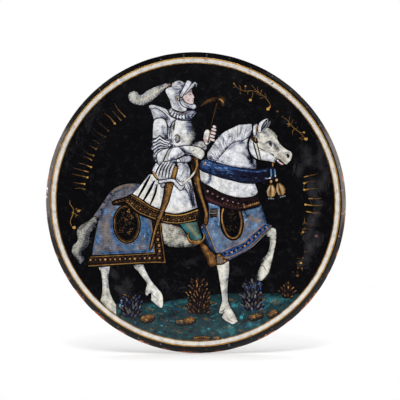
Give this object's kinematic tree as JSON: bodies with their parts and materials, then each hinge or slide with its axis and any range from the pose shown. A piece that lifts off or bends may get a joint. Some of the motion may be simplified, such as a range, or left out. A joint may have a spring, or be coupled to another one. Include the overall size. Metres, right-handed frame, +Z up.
{
  "type": "painted enamel plaque",
  "caption": "Round domed enamel plaque with a turned-down black rim, white ring and painted rider, hung by its back rim.",
  "frame": {"origin": "centre of the flat ring of the back rim, where the plate meets the wall", "axes": "+Z up, picture faces -Y, back of the plate towards +Y"},
  "size_m": [0.2196, 0.009, 0.2204],
  "materials": {
    "enamel": "fired glass enamel, high gloss, on copper"
  },
  "bodies": {
    "root": {"plaque": "enamel"}
  },
  "joints": []
}
